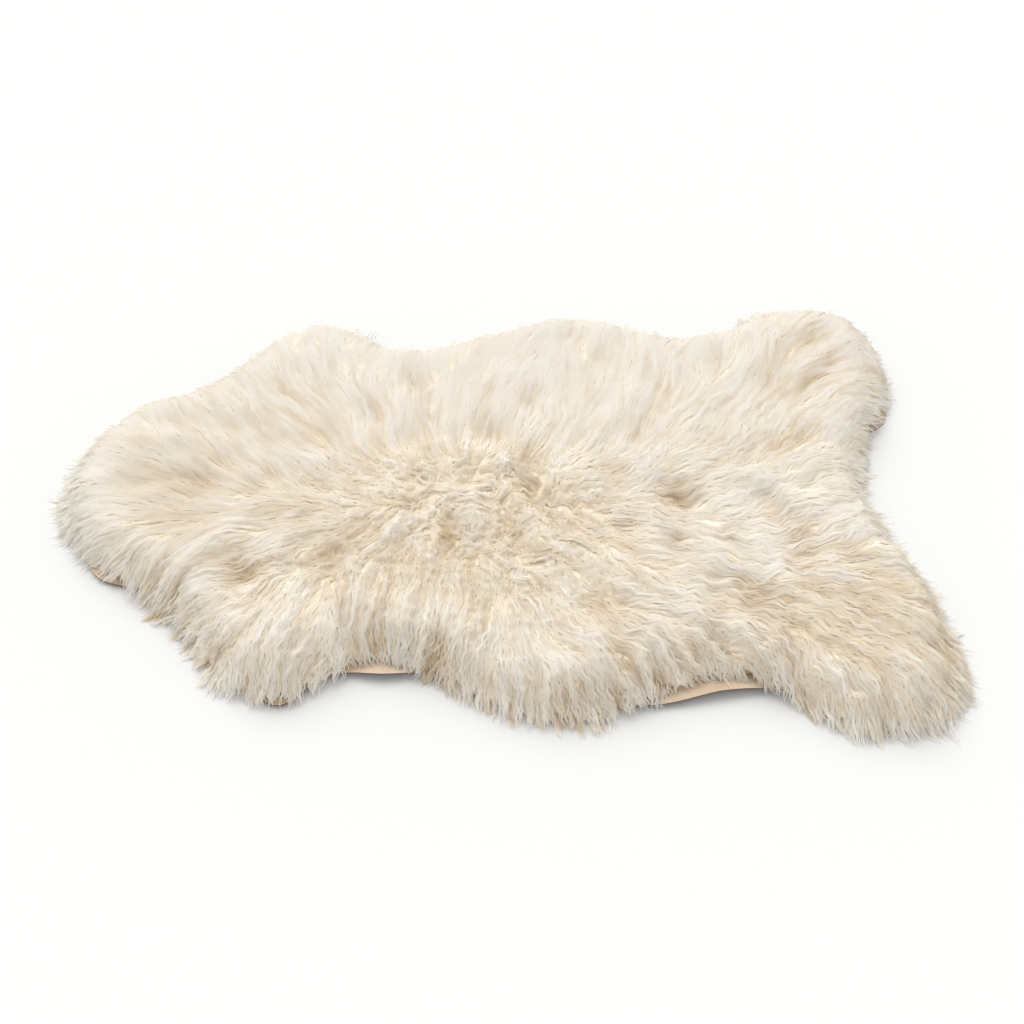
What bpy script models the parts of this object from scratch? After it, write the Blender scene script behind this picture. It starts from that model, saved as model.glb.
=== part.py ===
"""Single sheepskin rug: one tanned hide with its long wool, lying flat on the floor.

Two solids. The hide is a thin sheet of leather with the outline of the whole animal: neck,
two forelegs, belly, two hind legs and the notch at the tail. The fleece is the wool that
grows on it: a lumpy slab whose edge breaks into locks that rest on the floor.

Frame: metres, +Z up, +X from the neck to the tail, +Y to the animal's right side.
The origin is on the floor, under the middle of the rug.
"""

from collections import namedtuple
import math
import random

import bmesh
import bpy
import numpy as np
from mathutils import Vector, geometry, noise

MM = 0.001

# ---- Driving sizes (metres) ----
HIDE_THICKNESS = 2.0 * MM
GAP = 0.3 * MM                  # clearance between the wool's roots and the leather
STATIONS = 240                  # even steps round the rug's edge, one rim lock on each

LOCK_REACH = 14.0 * MM          # from the slab's widest line out to the outline
LOCK_ROOT_HEIGHT = 17.0 * MM    # height of the band that the rim locks grow from
LOCK_LENGTH = 20.0 * MM
LOCK_LENGTH_SPREAD = 6.0 * MM
LOCK_TIP_SIZE = 3.0 * MM
LOCK_SWAY = 5.0 * MM            # how far a lock's tip strays along the edge
LOCK_SECTIONS = ((0.55, 0.75), (1.0, 0.0))   # share of its length, fullness of its section
BARE_LOCK_SHARE = 0.45          # locks are this much shorter where the leather shows

FOOT_INSET = 5.0 * MM           # undercut of the wool at the floor, from the widest line
MOUTH_STEP = 3.0 * MM           # least width of the wool's foot
CURL_CLEARANCE = 0.06           # extra clearance over a curled edge, as a share of its lift
SKIRT_FROM = 24.0 * MM          # wool that hangs further than this past the hide covers it
SKIRT_FULL = 31.0 * MM          # and from here on it reaches the floor

PILE_DEPTH = 52.0 * MM          # mean height of the wool above the floor
PILE_SHOULDER = 46.0 * MM       # width over which the wool rounds up from its edge
PILE_ROUNDING = 2.3             # exponent of that round shoulder
PILE_RING_OFFSETS = (3.0 * MM, 11.0 * MM, 23.0 * MM)   # rings inside the widest line
PILE_SPACING = 16.0 * MM        # mesh pitch on the open pile

HIDE_RING_STEPS = (12.0 * MM, 13.0 * MM)   # rings in from the hide's edge
HIDE_RING_FLOOR = 26.0 * MM     # the first of them stays this far inside the outline
HIDE_LIFT_SHARES = (1.0, 0.45, 0.1)        # how the edge's lift dies away over the rings
HIDE_SPACING = 55.0 * MM        # mesh pitch on the flat of the hide

# ---- Relief of the pile ----
RELIEF = 12.0 * MM              # height of the lumps where locks gather
RELIEF_ACROSS = 32.0 * MM       # size of a lump across the lie of the wool
RELIEF_ALONG = (-24.0 * MM, -12.0 * MM, 0.0, 12.0 * MM, 24.0 * MM)   # smear along it
SWELL = 5.0 * MM                # broad unevenness
SWELL_SIZE = 150.0 * MM
RIM_WAVE = 3.0 * MM             # waviness of the slab's widest line
RIM_WAVE_SIZE = 45.0 * MM
SPINE = ((-160.0 * MM, 20.0 * MM), (240.0 * MM, -10.0 * MM))   # the wool parts from this line

# ---- Outline, in millimetres, from the neck to the tail ----
# x and half: place and half width on the right side; left_gain: extra half width on the left
# right_over and left_over: how far the locks' tips reach past the hide's edge
# left_lift: how high the hide's edge curls off the floor on the left side
Station = namedtuple("Station", "name x half left_gain right_over left_over left_lift")
OUTLINE = (
    Station("neck", -499, 0, 0, 34, 34, 0),
    Station("neck corner", -484, 75, -2, 34, 32, 0),
    Station("throat", -438, 131, -6, 32, 4, 3),
    Station("shoulder", -366, 174, -2, 32, 32, 0),
    Station("foreleg front", -313, 227, 0, 34, 34, 0),
    Station("foreleg toe", -276, 272, -4, 34, 30, 0),
    Station("foreleg end", -217, 300, -2, 32, 6, 3),
    Station("elbow", -160, 268, 4, 30, 18, 4),
    Station("elbow hollow", -108, 245, 9, 28, -3, 10),
    Station("brisket", -42, 263, 17, 32, 28, 3),
    Station("belly front", 35, 295, 18, 34, 36, 0),
    Station("belly", 112, 312, 9, 34, 36, 0),
    Station("belly rear", 180, 291, 6, 32, 6, 5),
    Station("flank hollow", 245, 268, 6, 30, -4, 11),
    Station("stifle", 309, 288, 9, 32, 24, 5),
    Station("hind leg outside", 366, 323, 2, 34, 34, 0),
    Station("hind toe outside", 437, 325, 4, 34, 30, 0),
    Station("hind toe", 484, 288, 2, 34, 24, 2),
    Station("hind toe inside", 496, 225, 0, 30, 32, 0),
    Station("hock", 490, 143, 0, -5, 34, 0),
    Station("tail shoulder", 466, 84, 2, 22, 34, 0),
    Station("tail notch", 443, 0, 0, 32, 32, 0),
)

# ---- Places where the wool parts and dips, in millimetres ----
Parting = namedtuple("Parting", "name x y radius depth")
PARTINGS = (
    Parting("withers", 4, 64, 30, 12),
    Parting("back", -89, 170, 40, 7),
    Parting("rump", 221, -25, 34, 14),
    Parting("croup", 343, -96, 38, 12),
    Parting("thigh", 275, -188, 30, 12),
    Parting("belly", 130, -205, 34, 8),
    Parting("loin", 75, -45, 26, 7),
    Parting("shoulder", -272, -139, 40, 12),
    Parting("ribs", -164, -115, 34, 8),
    Parting("neck", -338, -14, 44, 8),
)

LEATHER_COLOUR = (0.604, 0.392, 0.227, 1.0)
LEATHER_ROUGHNESS = 0.65
WOOL_COLOUR = (0.799, 0.694, 0.539, 1.0)
WOOL_ROUGHNESS = 0.95

SEED = 11
CURVE_STEPS = 16                # curve points between two named stations
NORMAL_REACH = 5                # stations each side that set the direction of the edge
GRID_CLEARANCE = 0.7            # least distance of inner points from a ring, in mesh pitches
RELIEF_GAIN = 2.0               # brings averaged noise back to about full height
MERGE_DISTANCE = 0.01 * MM


# ---- The rug's edge ----

def edge_rows():
    """Rows of x, y, over and lift round the whole rug, anticlockwise from the neck."""
    left = [(s.x, -s.half - s.left_gain, s.left_over, s.left_lift) for s in OUTLINE]
    right = [(s.x, s.half, s.right_over, 0.0) for s in OUTLINE[-2:0:-1]]
    return np.array(left + right) * MM


def closed_curve(rows):
    """Smooth closed curve through the rows, every column eased alike."""
    before, start, end, after = (np.roll(rows, shift, axis=0) for shift in (1, 0, -1, -2))
    t = np.linspace(0.0, 1.0, CURVE_STEPS, endpoint=False)[:, None, None]
    slope = (end - before) * t
    bend = (2.0 * before - 5.0 * start + 4.0 * end - after) * t ** 2
    twist = (3.0 * start - before - 3.0 * end + after) * t ** 3
    curve = start + 0.5 * (slope + bend + twist)
    return curve.transpose(1, 0, 2).reshape(-1, rows.shape[1])


def even_stations(curve, count):
    """The curve's rows at equal steps of its length."""
    closed = np.vstack([curve, curve[:1]])
    steps = np.hypot(*np.diff(closed[:, :2], axis=0).T)
    run = np.concatenate([[0.0], np.cumsum(steps)])
    marks = np.linspace(0.0, run[-1], count, endpoint=False)
    return np.column_stack([np.interp(marks, run, column) for column in closed.T])


def outward_normals(loop, reach=NORMAL_REACH):
    """Unit normals that point out of an anticlockwise loop."""
    tangent = np.roll(loop, -reach, axis=0) - np.roll(loop, reach, axis=0)
    normal = np.column_stack([tangent[:, 1], -tangent[:, 0]])
    return normal / np.linalg.norm(normal, axis=1)[:, None]


class Edge:
    """The rug's outline at even stations, and lines at any distance inside it."""

    def __init__(self):
        rows = even_stations(closed_curve(edge_rows()), STATIONS)
        self.tips = rows[:, :2]
        self.over = rows[:, 2]
        self.lift = np.maximum(rows[:, 3], 0.0)
        self.normals = outward_normals(self.tips)
        bare = self.over < SKIRT_FROM
        self.bare = bare | np.roll(bare, 1) | np.roll(bare, -1)

    def inside(self, distance):
        """Points at a distance inside the outline: one number, or one for each station."""
        distance = np.broadcast_to(distance, STATIONS)
        return self.tips - self.normals * distance[:, None]

    def hide_offsets(self):
        """How far inside the outline each ring of the hide runs."""
        first = np.maximum(self.over + HIDE_RING_STEPS[0], HIDE_RING_FLOOR)
        return self.over, first, first + HIDE_RING_STEPS[1]

    def hide_top(self, ring):
        """Height of the hide's upper face along one of its rings."""
        return self.lift * HIDE_LIFT_SHARES[ring] + HIDE_THICKNESS

    def foot_heights(self):
        """Height of the wool's lower edge: on the floor, or on the hide where that shows."""
        seat = self.hide_top(0) + GAP + CURL_CLEARANCE * self.lift
        cover = np.clip((self.over - SKIRT_FROM) / (SKIRT_FULL - SKIRT_FROM), 0.0, 1.0)
        cover[self.bare] = 0.0
        return seat * (1.0 - cover)


# ---- The pile's height ----

def lie_of_wool(x, y):
    """Unit direction in which the wool lies: away from the line of the spine."""
    start, end = (np.array(point) for point in SPINE)
    axis = end - start
    share = np.clip(np.dot((x, y) - start, axis) / np.dot(axis, axis), 0.0, 1.0)
    away = np.array((x, y)) - (start + share * axis)
    return away / max(np.linalg.norm(away), MM)


def relief(x, y):
    """Lumps drawn out along the lie of the wool, and a broad swell under them."""
    flow = lie_of_wool(x, y)
    lumps = 0.0
    for along in RELIEF_ALONG:
        spot = Vector((x + flow[0] * along, y + flow[1] * along, 0.0))
        lumps += noise.noise(spot / RELIEF_ACROSS) / len(RELIEF_ALONG)
    swell = noise.noise(Vector((x, y, SWELL_SIZE)) / SWELL_SIZE)
    return RELIEF * RELIEF_GAIN * lumps + SWELL * swell


def crown(x, y):
    """Height of the open pile above the floor."""
    height = PILE_DEPTH + relief(x, y)
    for parting in PARTINGS:
        away = math.hypot(x - parting.x * MM, y - parting.y * MM) / (parting.radius * MM)
        height -= parting.depth * MM * math.exp(-away ** 2)
    return height


def shoulder(distance):
    """Share of the pile's height that it reaches at a distance inside its widest line."""
    left = np.clip(1.0 - distance / PILE_SHOULDER, 0.0, 1.0)
    return (1.0 - left ** PILE_ROUNDING) ** (1.0 / PILE_ROUNDING)


def pile_height(x, y, distance, base):
    """Height of the wool's surface at a distance inside its widest line."""
    return base + (crown(x, y) - base) * shoulder(distance)


# ---- Mesh helpers ----

def ring_of(bm, points, heights):
    """A ring of vertices over flat points."""
    heights = np.broadcast_to(heights, len(points))
    return [bm.verts.new((x, y, z)) for (x, y), z in zip(points, heights)]


def loft(bm, lower, upper):
    """Triangles between two rings, every step cut along the same diagonal."""
    for i in range(len(lower)):
        j = (i + 1) % len(lower)
        bm.faces.new((lower[i], lower[j], upper[j]))
        bm.faces.new((lower[i], upper[j], upper[i]))


def panels(bm, lower, upper):
    """Four-sided faces between two rings."""
    count = len(lower)
    return [bm.faces.new((lower[i], lower[(i + 1) % count], upper[(i + 1) % count], upper[i]))
            for i in range(count)]


def nearest(points, loop):
    """Distance to a loop's nearest station, and which one, for each point."""
    apart = np.linalg.norm(points[:, None, :] - loop[None, :, :], axis=2)
    return apart.min(axis=1), apart.argmin(axis=1)


def is_within(points, loop):
    """Whether each point lies inside a closed loop."""
    px, py = points[:, 0][:, None], points[:, 1][:, None]
    ax, ay = loop.T
    bx, by = np.roll(loop, -1, axis=0).T
    rise = np.where(by == ay, 1.0, by - ay)
    crossing = ((ay > py) != (by > py)) & (px < ax + (py - ay) * (bx - ax) / rise)
    return crossing.sum(axis=1) % 2 == 1


def grid_within(loop, spacing):
    """An even triangular grid inside a loop, clear of its edge."""
    low, high = loop.min(axis=0), loop.max(axis=0)
    row_step = spacing * math.sqrt(3.0) / 2.0
    rows = []
    for row, y in enumerate(np.arange(low[1], high[1], row_step)):
        xs = np.arange(low[0] + (row % 2) * spacing / 2.0, high[0], spacing)
        rows.append(np.column_stack([xs, np.full(len(xs), y)]))
    grid = np.vstack(rows)
    grid = grid[is_within(grid, loop)]
    return grid[nearest(grid, loop)[0] > GRID_CLEARANCE * spacing]


def fill(bm, ring, spacing, height):
    """Triangles that fill a ring of vertices; height(x, y) places the inner ones."""
    loop = np.array([vertex.co.xy for vertex in ring])
    inner = grid_within(loop, spacing)
    vertices = ring + [bm.verts.new((x, y, height(x, y))) for x, y in inner]
    flat = [Vector(point) for point in np.vstack([loop, inner])]
    boundary = list(range(len(ring)))
    result = geometry.delaunay_2d_cdt(flat, [], [boundary], 1, MERGE_DISTANCE)
    triangles, sources = result[2], result[3]
    for triangle in triangles:
        bm.faces.new([vertices[sources[corner][0]] for corner in triangle])


def named_material(name, colour, roughness):
    """A Principled material."""
    material = bpy.data.materials.new(name)
    material.use_nodes = True
    shader = material.node_tree.nodes["Principled BSDF"]
    shader.inputs["Base Color"].default_value = colour
    shader.inputs["Roughness"].default_value = roughness
    shader.inputs["Metallic"].default_value = 0.0
    return material


def finished_object(name, bm, material):
    """Close the mesh, turn its faces outwards and put it in the scene."""
    bmesh.ops.remove_doubles(bm, verts=bm.verts, dist=MERGE_DISTANCE)
    bmesh.ops.dissolve_degenerate(bm, edges=bm.edges, dist=MERGE_DISTANCE)
    bmesh.ops.recalc_face_normals(bm, faces=bm.faces)
    mesh = bpy.data.meshes.new(name)
    bm.to_mesh(mesh)
    bm.free()
    mesh.shade_smooth()
    mesh.materials.append(material)
    thing = bpy.data.objects.new(name, mesh)
    bpy.context.scene.collection.objects.link(thing)
    return thing


# ---- The hide ----

def hide_skin(bm, edge, top):
    """One face of the hide; returns its outermost ring."""
    drop = 0.0 if top else HIDE_THICKNESS
    rings = [ring_of(bm, edge.inside(offset), edge.hide_top(i) - drop)
             for i, offset in enumerate(edge.hide_offsets())]
    loft(bm, rings[0], rings[1])
    loft(bm, rings[1], rings[2])
    fill(bm, rings[2], HIDE_SPACING, lambda x, y: HIDE_THICKNESS - drop)
    return rings[0]


def build_hide(edge):
    """The tanned hide: a sheet of leather that lies on the floor, its edge curled in places."""
    bm = bmesh.new()
    upper = hide_skin(bm, edge, top=True)
    lower = hide_skin(bm, edge, top=False)
    loft(bm, lower, upper)
    leather = named_material("tanned leather", LEATHER_COLOUR, LEATHER_ROUGHNESS)
    return finished_object("hide", bm, leather)


# ---- The fleece ----

def widest_line(edge):
    """The slab's widest line, gently waved."""
    waves = [noise.noise(Vector((x, y, 0.0)) / RIM_WAVE_SIZE) for x, y in edge.tips]
    return edge.inside(LOCK_REACH - RIM_WAVE * np.array(waves))


def pile_top(bm, edge, belly, belly_line, belly_heights):
    """The upper face of the slab, from its widest line to the open pile."""
    ring = belly
    for offset in PILE_RING_OFFSETS:
        line = belly_line - edge.normals * offset
        heights = [pile_height(x, y, offset, base) for (x, y), base in zip(line, belly_heights)]
        inner = ring_of(bm, line, heights)
        loft(bm, ring, inner)
        ring = inner

    def open_pile(x, y):
        distance, station = nearest(np.array([(x, y)]), belly_line)
        return pile_height(x, y, distance[0], belly_heights[station[0]])

    fill(bm, ring, PILE_SPACING, open_pile)


def seat_on_hide(bm, edge, foot, foot_heights):
    """The slab's underside: its foot, a step at the hide's edge, and the seat on the hide."""
    edge_offset, first, second = edge.hide_offsets()
    mouth_offset = np.maximum(edge_offset - GAP, LOCK_REACH + FOOT_INSET + MOUTH_STEP)
    mouth_line = edge.inside(mouth_offset)
    share = np.clip((mouth_offset - edge_offset) / (first - edge_offset), 0.0, 1.0)
    seat = edge.hide_top(0) * (1.0 - share) + edge.hide_top(1) * share
    seat += GAP + CURL_CLEARANCE * edge.lift
    mouth = ring_of(bm, mouth_line, np.where(edge.bare, seat, foot_heights))
    ledge = ring_of(bm, mouth_line, seat)
    rings = [ledge]
    for number, offset in ((1, first), (2, second)):
        rings.append(ring_of(bm, edge.inside(offset), edge.hide_top(number) + GAP))
    loft(bm, foot, mouth)
    loft(bm, mouth, ledge)
    loft(bm, rings[0], rings[1])
    loft(bm, rings[1], rings[2])
    fill(bm, rings[2], HIDE_SPACING, lambda x, y: HIDE_THICKNESS + GAP)


def lock_section(root, section, reach, tangent, foot):
    """Corner places of a lock's section; reach runs from the root's middle to the section's."""
    fullness = section[1]
    middle = sum((corner.co for corner in root), Vector()) / len(root)
    height = max(corner.co.z for corner in root) - foot
    places = []
    for corner in root:
        side = (corner.co - middle).dot(tangent)
        half = side * fullness + math.copysign(LOCK_TIP_SIZE / 2.0, side) * (1.0 - fullness)
        top = height * fullness + LOCK_TIP_SIZE * (1.0 - fullness)
        is_top = corner.co.z > middle.z
        place = middle + reach + tangent * half
        place.z = foot + (top if is_top else 0.0)
        places.append(place)
    return places


def grow_locks(bm, edge, band, foot_heights):
    """A tapered four-sided lock on every panel of the band, lying level."""
    chance = random.Random(SEED)
    for station, panel in enumerate(band):
        following = (station + 1) % STATIONS
        normal = edge.normals[station] + edge.normals[following]
        normal = Vector((normal[0], normal[1], 0.0)).normalized()
        tangent = Vector((-normal.y, normal.x, 0.0))
        length = LOCK_LENGTH + chance.uniform(-1.0, 1.0) * LOCK_LENGTH_SPREAD
        if edge.bare[station] or edge.bare[following]:
            length *= BARE_LOCK_SHARE
        x, y = edge.tips[station]
        drift = noise.noise(Vector((x, y, RIM_WAVE_SIZE)) / RIM_WAVE_SIZE)
        sway = LOCK_SWAY * RELIEF_GAIN * drift
        foot = max(foot_heights[station], foot_heights[following])
        sections = []
        for section in LOCK_SECTIONS:
            reach = normal * length * section[0] + tangent * sway * section[0] ** 2
            sections.append(lock_section(panel.verts, section, reach, tangent, foot))
        for places in sections:
            grown = bmesh.ops.extrude_discrete_faces(bm, faces=[panel])
            panel = grown["faces"][0]
            for corner, place in zip(panel.verts, places):
                corner.co = place


def build_fleece(edge):
    """The wool: one lumpy slab seated on the hide, with a lock at each step of its edge."""
    bm = bmesh.new()
    belly_line = widest_line(edge)
    foot_heights = edge.foot_heights()
    belly_heights = foot_heights + LOCK_ROOT_HEIGHT
    foot = ring_of(bm, belly_line - edge.normals * FOOT_INSET, foot_heights)
    belly = ring_of(bm, belly_line, belly_heights)
    band = panels(bm, foot, belly)
    pile_top(bm, edge, belly, belly_line, belly_heights)
    seat_on_hide(bm, edge, foot, foot_heights)
    grow_locks(bm, edge, band, foot_heights)
    wool = named_material("sheep's wool", WOOL_COLOUR, WOOL_ROUGHNESS)
    return finished_object("fleece", bm, wool)


# ---- Assembly ----

def centre_over_origin(things):
    """Shift the meshes together, so that their common box is centred over the origin."""
    corners = np.array([vertex.co for thing in things for vertex in thing.data.vertices])
    middle = (corners.min(axis=0) + corners.max(axis=0)) / 2.0
    for thing in things:
        for vertex in thing.data.vertices:
            vertex.co.x -= middle[0]
            vertex.co.y -= middle[1]


def main():
    for thing in list(bpy.data.objects):
        bpy.data.objects.remove(thing)
    edge = Edge()
    centre_over_origin([build_hide(edge), build_fleece(edge)])


main()
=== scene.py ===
"""Looks of a single sheepskin rug: long cream wool over a thin tanned hide, on a pale floor.

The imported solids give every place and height. The wool is grown here as flat tapered ribbons,
one for each small bunch of fibres. Each follows the lie of the wool over the fleece's own
surface, waves with its neighbours and gathers with them into locks. A grid over the rug holds
what is known of each place: heights, directions, and shares from 0 to 1.
"""

import enum
import logging
import math
from dataclasses import dataclass

import bmesh
import bpy
import numpy as np
from bpy.types import Material, Mesh, Node, NodeSocket, NodeTree, Object
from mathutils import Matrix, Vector
from mathutils.bvhtree import BVHTree
from mathutils.kdtree import KDTree


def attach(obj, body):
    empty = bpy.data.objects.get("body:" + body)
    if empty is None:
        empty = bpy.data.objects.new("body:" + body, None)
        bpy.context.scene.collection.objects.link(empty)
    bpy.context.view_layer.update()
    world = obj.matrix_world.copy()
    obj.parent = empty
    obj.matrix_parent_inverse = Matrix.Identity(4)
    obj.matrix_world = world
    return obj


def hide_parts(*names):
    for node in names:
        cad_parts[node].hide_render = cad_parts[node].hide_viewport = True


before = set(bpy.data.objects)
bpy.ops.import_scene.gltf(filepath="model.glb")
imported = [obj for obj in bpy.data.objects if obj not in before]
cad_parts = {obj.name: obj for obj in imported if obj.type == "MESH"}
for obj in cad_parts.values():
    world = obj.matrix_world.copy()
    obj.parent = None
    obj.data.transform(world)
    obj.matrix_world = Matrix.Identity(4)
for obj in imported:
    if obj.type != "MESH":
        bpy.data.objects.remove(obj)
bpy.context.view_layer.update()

LOG = logging.getLogger("sheepskin_rug")
MM = 0.001
Array = np.ndarray
ROOT_BODY = "root"
BAKE_UV = "OFBake"


# -------- colours and nodes


def linear(hex_colour: str) -> tuple[float, float, float, float]:
    """Turn an sRGB hex colour into a linear one.

    Args:
        hex_colour: six hex digits, with or without a leading hash.

    Returns:
        Red, green, blue and an alpha of 1.
    """
    digits = hex_colour.lstrip("#")
    channels = [int(digits[i:i + 2], 16) / 255.0 for i in (0, 2, 4)]
    linear_channels = [c / 12.92 if c <= 0.04045 else ((c + 0.055) / 1.055) ** 2.4
                       for c in channels]
    return (*linear_channels, 1.0)


def add_node(tree: NodeTree, kind: str, settings: dict | None = None, **inputs: object) -> Node:
    """Add a node with its settings, values and links.

    Args:
        tree: the node tree that it goes in.
        kind: the node's type name, without its ShaderNode prefix.
        settings: properties of the node itself.
        **inputs: values or sockets for inputs. An underscore stands for a blank, and a leading
            one for an input's number.

    Returns:
        The new node.
    """
    node = tree.nodes.new("ShaderNode" + kind)
    for name, value in (settings or {}).items():
        setattr(node, name, value)
    for name, value in inputs.items():
        socket = node.inputs[int(name[1:]) if name[0] == "_" else name.replace("_", " ")]
        if isinstance(value, NodeSocket):
            tree.links.new(value, socket)
        else:
            socket.default_value = value
    return node


def set_ramp(node: Node, stops: list[tuple[float, str]]) -> None:
    """Give a Color Ramp node its stops.

    Args:
        node: the ramp.
        stops: places from 0 to 1 and hex colours.
    """
    elements = node.color_ramp.elements
    while len(elements) < len(stops):
        elements.new(1.0)
    for element, (place, colour) in zip(elements, stops):
        element.position = place
        element.color = linear(colour)


def new_material(name: str, roughness: float, specular: float = 0.5) -> tuple[Material, Node]:
    """Make a material with one shader.

    Args:
        name: what the real material is.
        roughness: from 0, polished, to 1, matt.
        specular: strength of its highlights, 0.5 for most things.

    Returns:
        The material and its shader.
    """
    material = bpy.data.materials.new(name)
    material.use_nodes = True
    shader = material.node_tree.nodes["Principled BSDF"]
    shader.inputs["Roughness"].default_value = roughness
    shader.inputs["Specular IOR Level"].default_value = specular
    return material, shader


# -------- finishes


@dataclass(frozen=True)
class WoolFinish:
    """Washed natural sheep's wool: matt fibres that light passes through, tan at the roots."""

    name: str = "washed sheep's wool"
    deep: str = "#D6C19C"  # a tan ribbon's root, and painted shade deep between the ribbons
    middle: str = "#F0E6D3"  # its tip, and a cream ribbon's root
    pale: str = "#F7F3EC"
    tip: str = "#F9F7F2"  # a cream ribbon's tip
    roughness: float = 0.8
    specular: float = 0.12
    see_through: float = 0.65

    def material(self) -> Material:
        """Build the material that reads each ribbon's own tone and brightness, which carry
        painted light and shade besides the wool's own colour.

        Returns:
            The material.
        """
        material, shader = new_material(self.name, self.roughness, self.specular)
        tree = material.node_tree
        fibre = add_node(tree, "UVMap", {"uv_map": BAKE_UV})
        parts = add_node(tree, "SeparateXYZ", Vector=fibre.outputs["UV"])
        tone, shade_and_tan = parts.outputs["X"], parts.outputs["Y"]
        dark = add_node(tree, "ValToRGB", Fac=shade_and_tan)
        set_ramp(dark, [(0.0, self.deep), (0.8, self.middle), (1.0, self.middle)])
        light = add_node(tree, "ValToRGB", Fac=shade_and_tan)
        set_ramp(light, [(0.0, self.middle), (0.5, self.pale), (1.0, self.tip)])
        blend = add_node(tree, "Mix", {"data_type": "RGBA"}, _0=tone,
                         _6=dark.outputs["Color"], _7=light.outputs["Color"])
        tree.links.new(blend.outputs[2], shader.inputs["Base Color"])
        glow = add_node(tree, "BsdfTranslucent", Color=blend.outputs[2])
        both = add_node(tree, "MixShader", _0=self.see_through, _1=shader.outputs["BSDF"],
                        _2=glow.outputs["BSDF"])
        tree.links.new(both.outputs["Shader"], tree.nodes["Material Output"].inputs["Surface"])
        return material


# The dense wool near the skin, seen only down between the locks: duller, and shut to light.
UNDERWOOL = WoolFinish(name="dense underwool", deep="#B9A685", middle="#CFC4AF", pale="#D6CDBC",
                       tip="#F0EADF", roughness=0.9, see_through=0.0)


@dataclass(frozen=True)
class LeatherFinish:
    """Tanned sheep's hide, flesh side buffed to suede: warm tan, matt, with a fine nap."""

    name: str = "tanned suede hide"
    light: str = "#C9B8A2"
    dark: str = "#B79F82"
    # dark brown on faces turned from up: the cut edge's own colour, and painted shade on the
    # underside under the lifted edge
    edge: str = "#6E5748"
    roughness: float = 0.8
    steep: float = 0.45  # the upward part of a normal where a face is all cut edge
    level: float = 0.75  # and where it is all flat
    mottles: float = 28.0  # to the metre: each is about 36 mm across
    naps: float = 900.0  # tufts to the metre, coarser than real so that they show
    nap_depth: float = 0.4 * MM

    def material(self) -> Material:
        """Build the material: mottled tan with a fine nap in its bump, dark brown where faces
        turn from up: the cut edge's own colour, and painted shade on the underside.

        Returns:
            The material.
        """
        material, shader = new_material(self.name, self.roughness)
        tree = material.node_tree
        place = add_node(tree, "TexCoord").outputs["Object"]
        mottle = add_node(tree, "TexNoise", Vector=place, Scale=self.mottles, Detail=4.0)
        ramp = add_node(tree, "ValToRGB", Fac=mottle.outputs["Fac"])
        set_ramp(ramp, [(0.3, self.dark), (0.7, self.light)])
        # Faces turned from up get the dark brown: partly the cut edge's own colour, partly
        # painted shade on the underside
        normal = add_node(tree, "NewGeometry").outputs["Normal"]
        facing = add_node(tree, "SeparateXYZ", Vector=normal)
        flat = add_node(tree, "MapRange", Value=facing.outputs["Z"], From_Min=self.steep,
                        From_Max=self.level)
        colour = add_node(tree, "Mix", {"data_type": "RGBA"}, _0=flat.outputs["Result"],
                          _6=linear(self.edge), _7=ramp.outputs["Color"])
        nap = add_node(tree, "TexNoise", Vector=place, Scale=self.naps, Detail=2.0)
        bump = add_node(tree, "Bump", Height=nap.outputs["Fac"], Strength=0.3,
                        Distance=self.nap_depth)
        tree.links.new(colour.outputs[2], shader.inputs["Base Color"])
        tree.links.new(bump.outputs["Normal"], shader.inputs["Normal"])
        return material


# -------- grids over the rug


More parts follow.
